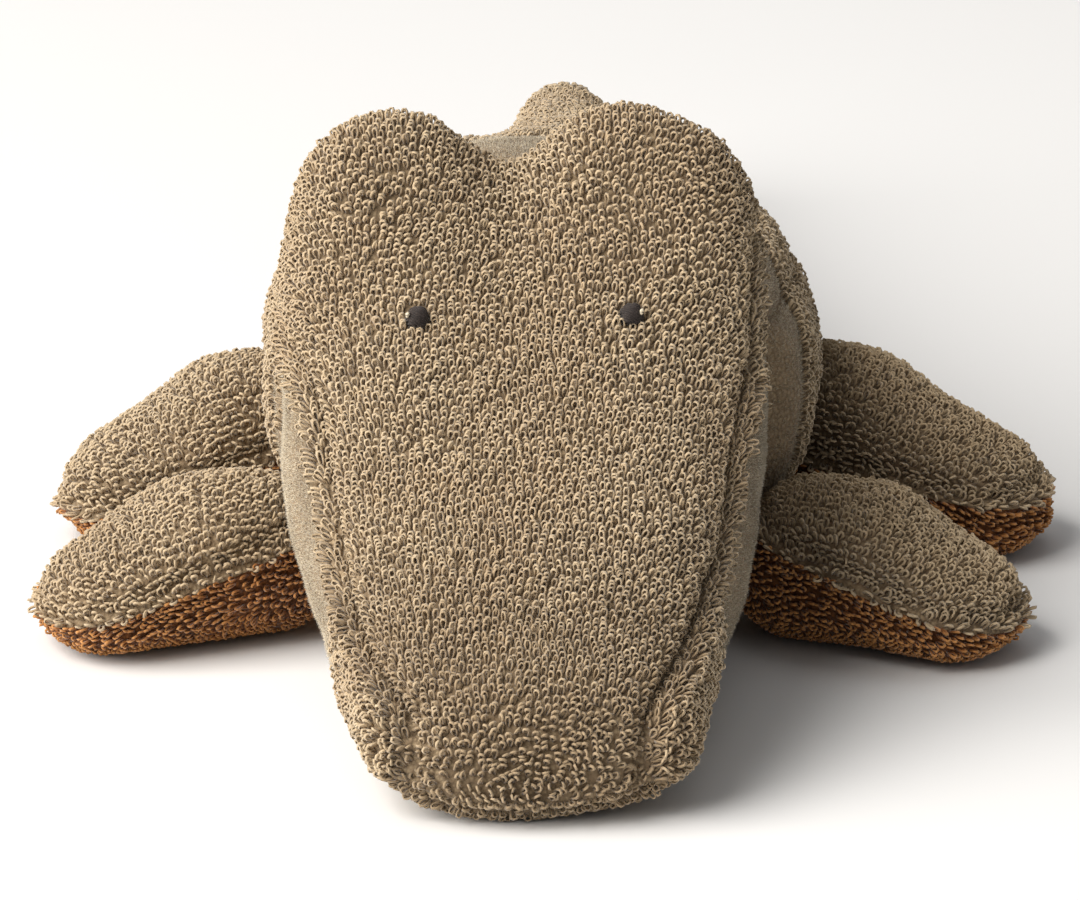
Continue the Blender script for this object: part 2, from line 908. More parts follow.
@dataclass
class PileLayer:
    """The loops over one cover: rows along the form, even spaces round it, thinned where they crowd."""

    cover: Cover
    seed: int
    pitch: float = 1.5
    row_pitch: float = 1.15
    least: float = 0.88
    spread: Spread = Spread.ROUND
    floor: float = 0.15
    bare: tuple[Array, ...] = ()
    bare_radius: float = 2.6
    jitter: tuple[float, float] = (0.14, 0.09)

    def candidates(self) -> tuple[Array, Array]:
        """Places over the net, in columns that wander a little.

        Returns:
            Their ring numbers and column numbers, with fractions.
        """
        rng = np.random.default_rng(self.seed)
        shown = self.cover.shown
        rings, columns = shown.shape[:2]
        run = run_along(shown[:, columns // 2])
        rows = np.arange(self.row_pitch / 2, run[-1], self.row_pitch)
        ring_at = np.interp(rows, run, np.arange(rings))
        us, vs = [], []
        for k, i in enumerate(ring_at):
            low = int(min(i, rings - 2))
            part = i - low
            ring = shown[low] * (1 - part) + shown[low + 1] * part
            girth = run_along(np.vstack([ring, ring[:1]]))
            middle = girth[columns // 2]
            count_up, count_on = int(middle / self.pitch), int((girth[-1] - middle) / self.pitch)
            wander = math.sin(k * 0.55) * self.pitch * 0.22
            at = middle + np.arange(-count_up, count_on + 1) * self.pitch + wander
            at = at[(at >= 0) & (at < girth[-1])]
            vs.append(np.interp(at, girth, np.arange(columns + 1)))
            us.append(np.full(len(at), i))
        u, v = np.concatenate(us), np.concatenate(vs)
        u = np.clip(u + rng.normal(0, self.jitter[0], len(u)), 0, rings - 1.001)
        v = (v + rng.normal(0, self.jitter[1], len(v))) % columns
        return u, v

    def read(self, net: Array, u: Array, v: Array) -> Array:
        """Values of a net between its points.

        Args:
            net: One value or vector per net point.
            u: Ring numbers with fractions.
            v: Column numbers with fractions.

        Returns:
            One value or vector per place.
        """
        columns = self.cover.columns
        i, j = u.astype(int), v.astype(int) % columns
        s, t = (u - i), (v - np.floor(v))
        if net.ndim == 3:
            s, t = s[:, None], t[:, None]
        j_next = (j + 1) % columns
        near = net[i, j] * (1 - t) + net[i, j_next] * t
        far = net[i + 1, j] * (1 - t) + net[i + 1, j_next] * t
        return near * (1 - s) + far * s

    def thin(self, points: Array) -> Array:
        """Keeps only points that lie a least distance apart.

        Args:
            points: The places.

        Returns:
            The numbers of those kept.
        """
        cells: dict[tuple[int, int, int], list[int]] = {}
        keep = []
        keys = np.floor(points / self.least).astype(int)
        limit = self.least**2
        places = points.tolist()
        for n, (cx, cy, cz) in enumerate(keys.tolist()):
            x, y, z = places[n]
            free = True
            for key in ((cx + i, cy + j, cz + k) for i in (-1, 0, 1) for j in (-1, 0, 1) for k in (-1, 0, 1)):
                for m in cells.get(key, ()):
                    a, b, c = places[m]
                    if (a - x) ** 2 + (b - y) ** 2 + (c - z) ** 2 < limit:
                        free = False
                        break
                if not free:
                    break
            if free:
                cells.setdefault((cx, cy, cz), []).append(n)
                keep.append(n)
        return np.array(keep)

    def lay(self) -> None:
        """Finds every loop's root, direction and seam distance."""
        u, v = self.candidates()
        root = self.read(self.cover.shown, u, v)
        for centre in self.bare:
            far = np.linalg.norm(root - centre, axis=1) > self.bare_radius
            u, v, root = u[far], v[far], root[far]
        keep = self.thin(root)
        u, v = u[keep], v[keep]
        self.root = root[keep]
        self.rest = self.read(self.cover.rest, u, v)
        self.out = unit(self.read(self.cover.out, u, v))
        self.seam = self.read(self.cover.seam_distance, u, v)
        self.to_seam = unit(self.read(self.cover.toward_seam, u, v))
        i, j = u.astype(int), v.astype(int) % self.cover.columns
        shown = self.cover.shown
        if self.spread is Spread.ROUND:
            self.across = shown[i, (j + 1) % self.cover.columns] - shown[i, j]
        else:
            self.across = shown[i + 1, j] - shown[i, j]


class PileMaker(Maker):
    """Dresses panels in loops or in nap."""

    sheet_loops = 4400
    clump_wave = 23.0
    swell_wave = 30.0
    wear_wave = 11.0
    wild_lean = 0.17
    clump_lean = 0.26
    wild_turn = 0.34
    heights = (0.8, 1.2)
    widths = (0.82, 1.12)
    yarn_radii = (0.27, 0.33)
    furrow_width = 1.3
    dim_width = 0.9
    dim_depth = 28.0
    tufts = 7
    tuft_spread = 1.15
    blade_lengths = (0.55, 1.1)
    blade_radius = 0.09

    def loops(self, layer: PileLayer, panel: Panel, name: str, mine: Array, seed: int) -> Piece:
        """The loops of one panel, or of one sheet of a large one.

        Args:
            layer: The cover's loops.
            panel: The panel.
            name: The piece's name.
            mine: The numbers of the loops that stand on it.
            seed: Which variation.

        Returns:
            The object.
        """
        rng = np.random.default_rng(seed)
        root, out = layer.root[mine], layer.out[mine]
        count = len(root)
        seam = layer.seam[mine]
        near = bell(seam, panel.fringe_reach)[:, None]
        wild = rng.normal(0, self.wild_lean, (count, 3))
        drift = self.clump_lean * np.stack([lumps(root, self.clump_wave, seed + k) for k in range(3)], -1)
        comb = np.array(panel.combed)
        lean = out + comb - out * (out @ comb)[:, None] + wild + drift
        up = unit(lean + panel.fringe * near * layer.to_seam[mine])
        across = unit(layer.across[mine]) + rng.normal(0, self.wild_turn, (count, 3))
        swell = 1 + 0.12 * lumps(root, self.swell_wave, seed + 5)
        own = rng.uniform(*self.heights, count)
        height = panel.height * swell * own * (1 + 0.4 * panel.fringe * near[:, 0])
        height = height * (1 - panel.furrow * bell(seam - FURROW_AT, self.furrow_width))
        pressed = np.clip((root[:, 2] - 1.5) / 8.0, 0.45, 1.0)
        height = np.where(out[:, 2] < -0.5, height * pressed, height)
        width = panel.wide * rng.uniform(*self.widths, count)
        yarn = rng.uniform(*self.yarn_radii, count)
        points, faces, high = LoopShape().build(root, up, across, height, width, yarn)
        points[:, 2] = np.maximum(points[:, 2], layer.floor)
        material = self.finishes.rust_loops if panel.slot is Slot.RUST else self.finishes.olive_loops
        obj = self.mesh(name, points, faces, material)
        each = len(points) // count
        self.note(obj, "pile_height", high)
        worn = np.clip((panel.worn_below - root[:, 2]) / self.dim_depth, 0, 1)
        worn = worn * (1 + 0.5 * lumps(root, self.wear_wave, seed + 7))
        dim = 1.1 * panel.furrow * bell(seam - FURROW_AT, self.dim_width) + panel.worn * worn
        self.note(obj, "loop_shade", np.repeat(np.clip(rng.normal(0.5, 0.2, count) - dim, 0, 1), each))
        self.map_loops(obj, count, each, high)
        self.carry(obj, panel.carrier, panel.slot)
        return obj

    def nap(self, layer: PileLayer, panel: Panel, mine: Array, seed: int) -> Piece:
        """The short brushed fibres of a smooth panel, as tufts of small blades.

        Args:
            layer: The cover's loops, which give the places.
            panel: The panel.
            mine: Which of them are on it.
            seed: Which variation.

        Returns:
            The object.
        """
        rng = np.random.default_rng(seed)
        root = np.repeat(layer.root[mine], self.tufts, axis=0)
        out = np.repeat(layer.out[mine], self.tufts, axis=0)
        count = len(root)
        spread = rng.uniform(-self.tuft_spread, self.tuft_spread, (count, 3))
        spread -= out * np.sum(spread * out, -1, keepdims=True)
        root = root + spread - out * 0.15
        way = unit(out + 0.35 * UP + rng.normal(0, 0.45, (count, 3)))
        tip = root + way * rng.uniform(*self.blade_lengths, count)[:, None]
        side = unit(np.cross(out, rng.normal(size=(count, 3)))) * self.blade_radius
        third = unit(np.cross(out, side)) * self.blade_radius
        points = np.stack([root + side, root - side * 0.5 + third, root - side * 0.5 - third, tip], 1)
        points[..., 2] = np.maximum(points[..., 2], layer.floor)
        base = (np.arange(count) * 4)[:, None]
        sides = ((0, 1, 3), (1, 2, 3), (2, 0, 3), (2, 1, 0))
        faces = np.concatenate([base + np.array([side]) for side in sides])
        obj = self.mesh(f"{panel.name}_nap", points.reshape(-1, 3), [faces], self.finishes.gusset_nap)
        high = np.tile([0.0, 0.0, 0.0, 1.0], count)
        self.map_loops(obj, count, 4, high)
        self.carry(obj, panel.carrier, panel.slot)
        return obj

    def note(self, obj: Piece, name: str, values: Array) -> None:
        """Keeps a number on each point."""
        attribute = obj.data.attributes.new(name, "FLOAT", "POINT")
        attribute.data.foreach_set("value", values.astype(np.float32))

    def map_loops(self, obj: Piece, count: int, each: int, high: Array) -> None:
        """Gives each loop its own cell of the texture map.

        Args:
            obj: The piece.
            count: How many loops it has.
            each: Points in one loop.
            high: How high up its loop each point is.
        """
        side = int(math.ceil(math.sqrt(count)))
        cell = np.arange(count)
        left, low = (cell % side) / side, (cell // side) / side
        part = np.tile(np.linspace(0.2, 0.8, each), count)
        u = np.repeat(left, each) + part / side
        v = np.repeat(low, each) + (0.2 + 0.6 * high) / side
        corners = np.zeros(len(obj.data.loops), np.int32)
        obj.data.loops.foreach_get("vertex_index", corners)
        layer = obj.data.uv_layers.new(name="OFBake")
        layer.data.foreach_set("uv", np.stack([u[corners], v[corners]], -1).astype(np.float32).ravel())

    def dress(
        self, cover: Cover, panels: list[Panel], label_of: Field, seed: int,
        smooth: Field | None = None, **layer_settings: object,
    ) -> None:
        """Cuts a cover into its panels and lays the pile on them.

        Args:
            cover: The finished cover.
            panels: Its panels.
            label_of: Gives a panel's number for places on the cover before it was swelled.
            seed: Which variation.
            smooth: Says where the olive cloth is smooth, or None for nowhere.
            **layer_settings: Settings of the pile's layer.
        """
        middle = cover.rest.reshape(-1, 3)[cover.tris].mean(1)
        labels = label_of(middle)
        layer = PileLayer(cover, seed, **layer_settings)
        layer.lay()
        standing = label_of(layer.rest)
        brushed = smooth(layer.rest) if smooth else np.zeros(len(standing), bool)
        for number, panel in enumerate(panels):
            self.cloth(cover, panel, labels)
            napped = brushed & (panel.slot is Slot.OLIVE)
            mine = np.flatnonzero((standing == panel.label) & napped)
            if len(mine):
                self.nap(layer, panel, mine, seed + 10 * number)
            mine = np.flatnonzero((standing == panel.label) & ~napped)
            if not len(mine):
                continue
            sheets = np.array_split(mine, len(mine) // self.sheet_loops + 1)
            for k, sheet in enumerate(sheets):
                end = f"_{k + 1}" if len(sheets) > 1 else ""
                self.loops(layer, panel, f"{panel.name}_loops{end}", sheet, seed + 10 * number + k)


TORSO_ROWS = np.array([
    [0.0, 0.86, 0.95], [0.17, 0.94, 0.99], [0.36, 0.99, 1.0], [0.55, 1.0, 0.97],
    [0.74, 0.95, 0.915], [0.9, 0.81, 0.85], [1.0, 0.68, 0.805],
])
TAIL_ROWS = np.array([
    [0.0, 1.0, 1.0, 0.0], [0.17, 0.87, 0.87, 0.0], [0.34, 0.74, 0.75, 0.0], [0.52, 0.6, 0.645, 0.0],
    [0.7, 0.465, 0.555, 0.15], [0.86, 0.335, 0.48, 0.5], [1.0, 0.23, 0.44, 1.0],
])
HEAD_ROWS = np.array([
    [0.0, 0.575, 0.245], [0.1, 0.65, 0.305], [0.22, 0.715, 0.405], [0.36, 0.79, 0.53],
    [0.5, 0.87, 0.65], [0.68, 0.955, 0.81], [0.86, 1.0, 0.945], [1.0, 0.985, 1.0],
])
LEG_ROWS = np.array([
    [-0.6, 0.97, 1.0], [0.0, 1.0, 1.0], [0.3, 0.99, 0.83],
    [0.6, 0.92, 0.66], [0.85, 0.83, 0.54], [1.0, 0.75, 0.47],
])
TOP_PANEL_ROWS = np.array([
    [-0.03, 0.5], [0.0, 0.53], [0.06, 0.585], [0.13, 0.67], [0.2, 0.735], [0.35, 0.829], [0.455, 0.888],
    [0.555, 0.936], [0.655, 0.981], [0.775, 1.045], [1.1, 1.09],
])


@dataclass
class Layout:
    """Where the crocodile's parts meet, in millimetres."""

    snout_tip: float = -210.75
    neck: float = -105.75
    tail_root: float = 14.25
    tail_section: float = 65.5
    tail_tip: float = 210.75
    neck_x: float = -2.0
    neck_height: float = 44.0
    cloth_floor: float = 1.0
    crease_reach: float = 13.0
    crease_height: float = 30.0

    def tail_joint(self, index: int) -> float:
        """Place of a joint of the tail."""
        return self.tail_root + index * self.tail_section

    def crease(self, index: int, first: str, second: str) -> Bend:
        """The bend at a joint of the tail.

        Args:
            index: Which joint.
            first: The body before it.
            second: The body after it.

        Returns:
            The bend.
        """
        y, reach = self.tail_joint(index), self.crease_reach
        start, end = ((0.0, at * MM, self.crease_height * MM) for at in (y - reach, y + reach))
        return Bend(first, second, start, end)


@dataclass
class Head:
    """The head: a top panel that wraps over the snout, two smooth side gussets and a rust chin."""

    layout: Layout
    step: float = 1.9
    columns: int = 168
    top_width: float = 89.0
    chin_seam: float = 1.9
    crown_seam: tuple[float, ...] = (-3.0, 0.0, 9.0, 19.0, 27.0, 34.0, 42.0, 48.0)
    twist: tuple[float, ...] = (0.0, -0.1, 0.1, 0.5, 0.45, 0.35, -0.3, -0.6)
    turn_degrees: float = 2.0
    eye_spacing: float = 40.6
    eye_y: float = -139.2

    def form(self) -> HeadForm:
        """The head's stuffed form."""
        lay = self.layout
        return HeadForm(
            start_y=lay.snout_tip, end_y=lay.neck - 0.3, start_nose=12.0, end_nose=9.0,
            width=96.0, height=95.0, rows=HEAD_ROWS, rows_from=lay.snout_tip, rows_to=lay.neck,
            start_power=2.2, end_power=4.6, lower_power=2.2, start_round=2.4, end_round=2.6, pole_height=0.3,
        )

    def top_field(self, p: Array) -> Array:
        """Above zero on the top panel.

        Args:
            p: Places in millimetres, one row each.

        Returns:
            One number per place.
        """
        place = (p[..., 1] - self.layout.snout_tip) / (self.layout.neck - self.layout.snout_tip)
        shares = shares_at(TOP_PANEL_ROWS, place.ravel())[:, 0].reshape(place.shape)
        twist = np.interp(place, [0.0, 0.2, 0.35, 0.455, 0.555, 0.655, 0.775, 0.9], self.twist)
        beside = self.top_width / 2 * shares - np.abs(p[..., 0] - twist)
        crown = p[..., 2] - np.interp(place, [0.0, 0.06, 0.13, 0.23, 0.38, 0.55, 0.75, 1.0], self.crown_seam)
        return np.minimum(beside, crown)

    def chin_field(self, p: Array) -> Array:
        """Above zero above the chin seam, which lies under the snout, a little behind its tip."""
        tip = self.layout.snout_tip
        return p[..., 2] - np.interp(p[..., 1], [tip + 9.0, tip + 22.0], [-0.7, self.chin_seam])

    def label(self, p: Array) -> Array:
        """The panel's number at places on the head."""
        side = np.where(p[..., 0] > 0, 1, 2)
        return np.where(self.chin_field(p) < 0, 3, np.where(self.top_field(p) > 0, 0, side))

    def build(self, maker: PileMaker) -> None:
        """Builds and dresses the head's cover.

        Args:
            maker: What makes the pieces.
        """
        cover = Cover(self.form(), self.step, self.columns)
        cover.sew(self.chin_field(cover.rest), Seam(reach=3.0, depth=1.0))
        cover.sew(self.top_field(cover.rest), Seam(reach=1.4, depth=0.8, roll=0.9, furrow=2.3))
        cover.swell(inset=1.4, lump=0.75, seed=11, floor=self.layout.cloth_floor)
        turn = turn_about_up(math.radians(self.turn_degrees))
        pivot = np.array([0, self.layout.neck, self.layout.neck_height])
        centre = np.array([self.layout.neck_x, self.layout.neck, self.layout.neck_height])
        self.turn, self.move = turn, centre - turn @ pivot
        cover.place(turn, self.move)
        self.cover = cover
        panels = [
            Panel(
                "head_top", 0, Slot.OLIVE, "head_top_panel", "head", fringe=1.2, fringe_reach=3.0,
                furrow=0.85, height=1.8, wide=1.08, combed=(0.0, 0.85, 0.6), worn=0.6,
            ),
            Panel("head_gusset_left", 1, Slot.OLIVE, "head_side_panel_left", "head", height=2.0),
            Panel("head_gusset_right", 2, Slot.OLIVE, "head_side_panel_right", "head", height=2.0),
            Panel("chin", 3, Slot.RUST, "chin_panel", "head"),
        ]
        eyes = tuple(self.eye_seat(sign)[0] for sign in (1, -1))
        maker.dress(
            cover, panels, self.label, seed=101, smooth=self.smooth,
            pitch=1.55, row_pitch=0.8, least=0.68, bare=eyes,
        )

    def eye_seat(self, sign: int) -> tuple[Array, Array]:
        """The place and outward direction of an eye on the finished head.

        Args:
            sign: 1 on the left, -1 on the right.

        Returns:
            The place and the direction.
        """
        shown, out = self.cover.shown, self.cover.out
        wanted = self.turn @ np.array([sign * self.eye_spacing / 2, self.eye_y, 80.0]) + self.move
        gap = np.hypot(shown[..., 0] - wanted[0], shown[..., 1] - wanted[1])
        gap = gap + np.where(out[..., 2] > 0, 0, 1e3)
        weight = bell(gap, 1.6)[..., None]
        place = (shown * weight).sum((0, 1)) / weight.sum()
        return np.array([wanted[0], wanted[1], place[2]]), unit((out * weight).sum((0, 1)))

    def smooth(self, p: Array) -> Array:
        """True on the gussets behind the snout's corners."""
        side = (self.top_field(p) < 0) & (self.chin_field(p) > 0)
        return side & (p[..., 1] > self.layout.snout_tip + 24.0 + 0.3 * p[..., 2])


@dataclass(frozen=True)
class StitchLayer:
    """One layer of an eye's stitches, laid side by side."""

    count: int
    turn: float
    lift: float
    thick: float


@dataclass
class Eyes:
    """Two embroidered eyes: a dome of dark satin stitches with one cream stitch on its outer side."""

    head: Head
    radius: float = 2.3
    samples: int = 9
    glint_lift: float = 2.35
    glint_thick: float = 0.42
    sides: int = 6
    thread_side: Place = (0.31, 0.22, 0.93)
    layers: tuple[StitchLayer, ...] = (StitchLayer(9, 0.35, 1.7, 0.36), StitchLayer(10, -0.5, 2.25, 0.3))

    def sewn(
        self, maker: PileMaker, name: str, paths: list[Array], thick: list[float], finish: Finish
    ) -> Piece:
        """A piece of closed lengths of thread, thickest in the middle.

        Args:
            maker: What makes the pieces.
            name: The piece's name.
            paths: The points of each length.
            thick: Each length's radius in the middle.
            finish: The thread's finish.

        Returns:
            The object.
        """
        centre = np.array(paths)
        run = unit(np.gradient(centre, axis=1))
        flat = unit(np.cross(run, self.thread_side))
        size = 0.35 + 0.65 * np.sin(np.linspace(0, math.pi, self.samples)) ** 0.5
        ring, faces = tubes(centre, flat, np.array(thick)[:, None] * size, self.sides)
        return maker.mesh(name, ring.reshape(-1, 3), faces, finish)

    def build(self, maker: PileMaker) -> None:
        """Builds both eyes.

        Args:
            maker: What makes the pieces.
        """
        for side, sign in (("left", 1), ("right", -1)):
            rng = np.random.default_rng(5 + sign)
            seat, out = self.head.eye_seat(sign)
            across = unit(np.cross(UP, out)) * -1.0
            along = np.cross(out, across)
            paths, thick = [], []
            t = np.linspace(-1, 1, self.samples)
            for layer in self.layers:
                c, s = math.cos(layer.turn), math.sin(layer.turn)
                for k in range(layer.count):
                    place = (k + 0.5) / layer.count * 2 - 1
                    half = self.radius * math.sqrt(max(1 - place**2, 0.02)) * rng.uniform(0.92, 1.08)
                    x = t * half
                    y = np.full(self.samples, place * self.radius * 0.95)
                    xr, yr = x * c - y * s, x * s + y * c
                    dome = 1 - (xr**2 + yr**2) / (self.radius * 1.3) ** 2
                    z = layer.lift * np.clip(dome, 0.15, 1) ** 0.5 - 0.9 * np.abs(t) ** 4
                    paths.append(seat + across * xr[:, None] + along * yr[:, None] + out * z[:, None])
                    thick.append(layer.thick)
            dark = self.sewn(maker, f"eye_{side}_stitches", paths, thick, maker.finishes.eye_dark)
            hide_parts(f"eye_{side}")
            maker.carry(dark, "head", Slot.THREAD)
            t = t[:, None]
            spot = seat + across * (-sign * self.radius * 0.8) + out * self.glint_lift
            path = spot + along * t * 0.5 + across * (0.12 * t) - out * 0.5 * t**2
            name, finish = f"eye_{side}_glint", maker.finishes.eye_cream
            cream = self.sewn(maker, name, [path], [self.glint_thick], finish)
            maker.carry(cream, "head", Slot.THREAD)


@dataclass
class TorsoAndTail:
    """Torso and tail: one long taper with a rust belly and smooth shoulders, creased where the tail bends."""

    layout: Layout
    torso_width: float = 112.0
    torso_height: float = 88.0
    tail_width: float = 76.0
    tail_height: float = 70.0
    shoulder_seam: float = -79.0
    shoulder_top: float = -40.0
    nape_seam: float = -14.0
    nape_width: float = 24.0
    step: float = 2.1
    columns: int = 160

    def form(self) -> StuffedForm:
        """The stuffed form, from the rounded front of the torso to the tip of the tail.

        Returns:
            The form.
        """
        lay = self.layout
        torso, tail = lay.tail_root - lay.neck, lay.tail_tip - lay.tail_root
        rows = [
            [lay.neck + torso * r[0], r[1] * self.torso_width, r[2] * self.torso_height, 0.0]
            for r in TORSO_ROWS[:-1]
        ]
        rows += [
            [lay.tail_root + tail * r[0], r[1] * self.tail_width, r[2] * self.tail_height, r[3]]
            for r in TAIL_ROWS
        ]
        table = np.array(rows)
        table[:, 0] = (table[:, 0] - lay.neck) / (lay.tail_tip - lay.neck)
        return StuffedForm(
            start_y=lay.neck + 5.0, end_y=lay.tail_tip, start_nose=18.0, end_nose=9.0,
            width=1.0, height=1.0, rows=table, rows_from=lay.neck, rows_to=lay.tail_tip,
            start_power=2.08, end_power=2.15, lower_power=2.3, start_round=2.0, end_round=2.2, tip_lift=9.0,
        )

    def under_field(self, p: Array) -> Array:
        """Above zero above the belly seam."""
        height = np.interp(p[..., 1], [-20.0, 25.0, 130.0, 165.0, 210.0], [12.0, 9.0, 9.0, 10.5, 15.0])
        return p[..., 2] - height

    def back_field(self, p: Array) -> Array:
        """Above zero on the back panel, which narrows to a point where the tail begins."""
        return p[..., 2] - np.interp(p[..., 1], [-20.0, 5.0, 14.0], [62.0, 66.0, 90.0])

    def shoulder_field(self, p: Array) -> Array:
        """Below zero on the smooth shoulders and on the nape, which runs back in a point on the back.

        Args:
            p: Places in millimetres, one row each.

        Returns:
            One number per place.
        """
        raised = np.clip((p[..., 2] - 35.0) / 45.0, 0, 1) ** 2
        point = bell(p[..., 0], self.nape_width) * raised
        edge = self.shoulder_seam + (self.shoulder_top - self.shoulder_seam) * raised
        return p[..., 1] - edge - (self.nape_seam - self.shoulder_top) * point

    def label(self, p: Array) -> Array:
        """The panel's number at places on the torso and tail.

        Args:
            p: Places in millimetres, one row each.

        Returns:
            One number per place.
        """
        joints = [self.layout.tail_joint(k) for k in range(3)]
        middles = [y + self.layout.tail_section / 2 for y in joints]
        cuts = [joints[0], middles[0], joints[1], middles[1], joints[2]]
        stretch = np.searchsorted(cuts, p[..., 1])
        above = self.under_field(p) > 0
        torso = np.where(above, np.where(self.back_field(p) > 0, 0, np.where(p[..., 0] > 0, 1, 2)), 3)
        return np.where(stretch == 0, torso, 2 + 2 * stretch + np.where(above, 0, 1))

    def build(self, maker: PileMaker) -> None:
        """Builds and dresses the cover.

        Args:
            maker: What makes the pieces.
        """
        lay = self.layout
        cover = Cover(self.form(), self.step, self.columns)
        for cut in [lay.tail_joint(k) for k in range(3)]:
            cover.sew(cover.rest[..., 1] - cut, Seam(reach=4.5, depth=1.0))
        for cut in (0, 1):
            cover.snap(cover.rest[..., 1] - lay.tail_joint(cut) - lay.tail_section / 2)
        cover.sew(self.shoulder_field(cover.rest), Seam(reach=2.6, depth=1.0))
        cover.sew(self.back_field(cover.rest), Seam(reach=3.0, depth=1.1))
        cover.sew(self.under_field(cover.rest), Seam(reach=3.0, depth=1.3))
        cover.swell(inset=1.4, lump=0.9, seed=31, floor=lay.cloth_floor)
        first = lay.crease(0, "torso", "tail_root")
        second = lay.crease(1, "tail_root", "tail_middle")
        third = lay.crease(2, "tail_middle", "tail_end")
        panels = [
            Panel("back", 0, Slot.OLIVE, "back_panel", first, fringe=0.3),
            Panel("torso_side_left", 1, Slot.OLIVE, "torso_side_panel_left", first),
            Panel("torso_side_right", 2, Slot.OLIVE, "torso_side_panel_right", first),
            Panel("belly", 3, Slot.RUST, "belly_panel", first),
        ]
        for section, part, bend in (
            ("root", "front_{}", first), ("root", "rear_{}", second),
            ("middle", "front_{}", second), ("middle", "rear_{}", third), ("end", "{}_half", third),
        ):
            for face, slot, fringe in (("upper", Slot.OLIVE, 0.4), ("under", Slot.RUST, 0.0)):
                name, node = f"tail_{section}_{part.format(face)}", f"tail_{section}_{face}"
                panels.append(Panel(name, len(panels), slot, node, bend, fringe=fringe))
        maker.dress(cover, panels, self.label, seed=301, smooth=lambda p: self.shoulder_field(p) < 0)


@dataclass
class Leg:
    """One leg: an olive upper and a rust sole, sewn round a rolled seam."""

    name: str
    sign: int
    layout: Layout
    y: float
    sweep_degrees: float
    length: float
    width: float
    height: float
    hinge_x: float = 60.0
    hinge_z: float = 17.0
    bend_x: tuple[float, float] = (47.0, 69.0)
    root_seam: float = 19.0
    toe_seam: float = 7.0
    step: float = 1.7
    columns: int = 76

    def form(self) -> StuffedForm:
        """The leg's stuffed form, from inside the torso to the toe."""
        first = self.width / 2 * math.tan(math.radians(self.sweep_degrees))
        return StuffedForm(
            start_y=-21.0, end_y=self.length, start_nose=15.0, end_nose=13.0,
            width=self.width, height=self.height, rows=LEG_ROWS, rows_from=first, rows_to=self.length,
            start_power=2.1, end_power=2.3, lower_power=2.6, start_round=2.0, end_round=2.2,
        )

    @property
    def turn(self) -> Array:
        """The turn that lays the leg out to its side, mirrored on the right."""
        return np.diag([float(self.sign), 1.0, 1.0]) @ turn_about_up(math.radians(-90 - self.sweep_degrees))

    @property
    def move(self) -> Array:
        """The place of the leg's root."""
        return np.array([self.sign * self.hinge_x, self.y, 0.0])

    def sole_field(self, p: Array) -> Array:
        """Above zero above the sole's seam."""
        return p[..., 2] - self.root_seam - (self.toe_seam - self.root_seam) * p[..., 1] / self.length

    def label(self, p: Array) -> Array:
        """The panel's number at places on the leg."""
        return np.where(self.sole_field(p) > 0, 0, 1)

    def build(self, maker: PileMaker, seed: int) -> None:
        """Builds and dresses the leg.

        Args:
            maker: What makes the pieces.
            seed: Which variation.
        """
        cover = Cover(self.form(), self.step, self.columns)
        sole_seam = Seam(reach=3.4, depth=1.3, roll=1.7, furrow=0.9, furrow_at=4.2)
        cover.sew(self.sole_field(cover.rest), sole_seam)
        cover.swell(inset=1.3, lump=0.55, seed=seed, floor=self.layout.cloth_floor)
        cover.place(self.turn, self.move)
        combed = tuple(1.3 * self.turn[:, 1])
        inner, outer = ((self.sign * x * MM, self.y * MM, self.hinge_z * MM) for x in self.bend_x)
        bend = Bend("torso", self.name, inner, outer)
        panels = [
            Panel(
                f"{self.name}_top", 0, Slot.OLIVE, f"{self.name}_upper", bend, fringe=0.7, furrow=0.2,
                height=1.8, combed=(self.sign * 0.3, 0.0, 0.5),
            ),
            Panel(
                f"{self.name}_underside", 1, Slot.RUST, f"{self.name}_sole", bend,
                height=1.9, combed=combed, wide=0.85,
            ),
        ]
        maker.dress(cover, panels, self.label, seed=seed, spread=Spread.ALONG)


